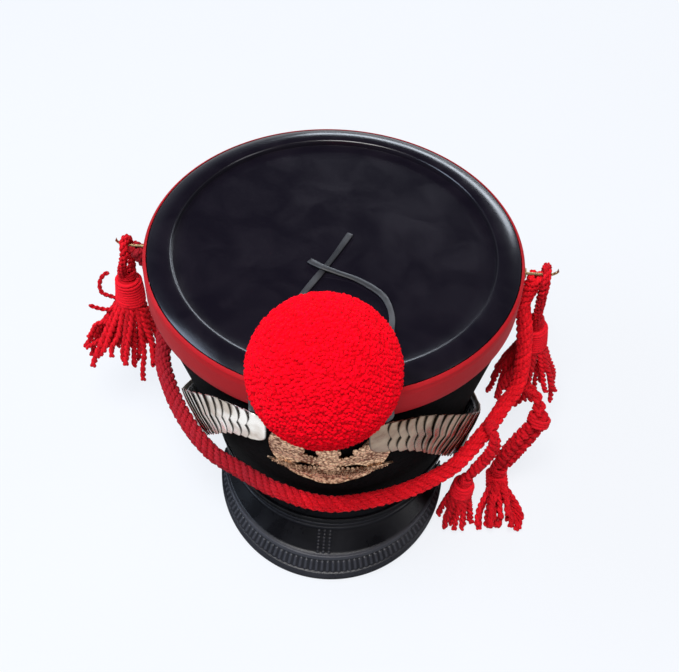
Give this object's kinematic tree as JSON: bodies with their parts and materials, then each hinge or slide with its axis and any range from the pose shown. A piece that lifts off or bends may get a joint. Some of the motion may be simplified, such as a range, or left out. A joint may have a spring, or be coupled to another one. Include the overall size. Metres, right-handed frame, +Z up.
{
  "type": "shako",
  "caption": "Tall felt military cap wider at its crown, with peak, front plate, scaled chin straps, pompom, swagged cord and tassels, resting on its rim.",
  "frame": {"origin": "on the surface the cap rests on, at the middle of the cap's box measured without cords, laces and tassels", "axes": "+Z up from that surface; the peak and the front plate face -Y; the wearer's left hand side is +X"},
  "size_m": [0.3561, 0.3032, 0.2921],
  "materials": {
    "black_felt": "dense black wool felt with a short nap",
    "black_leather": "black leather with a soft satin gloss",
    "red_leather": "matt muted red leather band with a finer edge",
    "red_wool": "clipped bright red wool pile",
    "red_cord": "twisted and plaited red wool cord",
    "white_metal": "silvered metal scales, worn and warm in places",
    "gilt_metal": "stamped gilt metal with darker hollows",
    "brass": "brass wire, slightly dulled"
  },
  "bodies": {
    "root": {"body": "black_felt", "crown_top": "black_leather", "top_band": "red_leather", "base_band": "black_leather", "peak": "black_leather", "plate": "gilt_metal", "pompom": "red_wool", "pompom_stem": "brass", "chin_strap_left": "black_leather", "chin_strap_right": "black_leather", "chin_scales_left": "white_metal", "chin_scales_right": "white_metal", "boss_left": "white_metal", "boss_right": "white_metal", "hook_left": "brass", "hook_right": "brass", "lace_left": "black_leather", "lace_right": "black_leather", "cord_swag": "red_cord", "loop_left": "red_cord", "loop_right": "red_cord", "drop_cord_a": "red_cord", "drop_cord_b": "red_cord", "tassel_left": "red_cord", "tassel_right": "red_cord", "tassel_a": "red_cord", "tassel_b": "red_cord"}
  },
  "joints": []
}
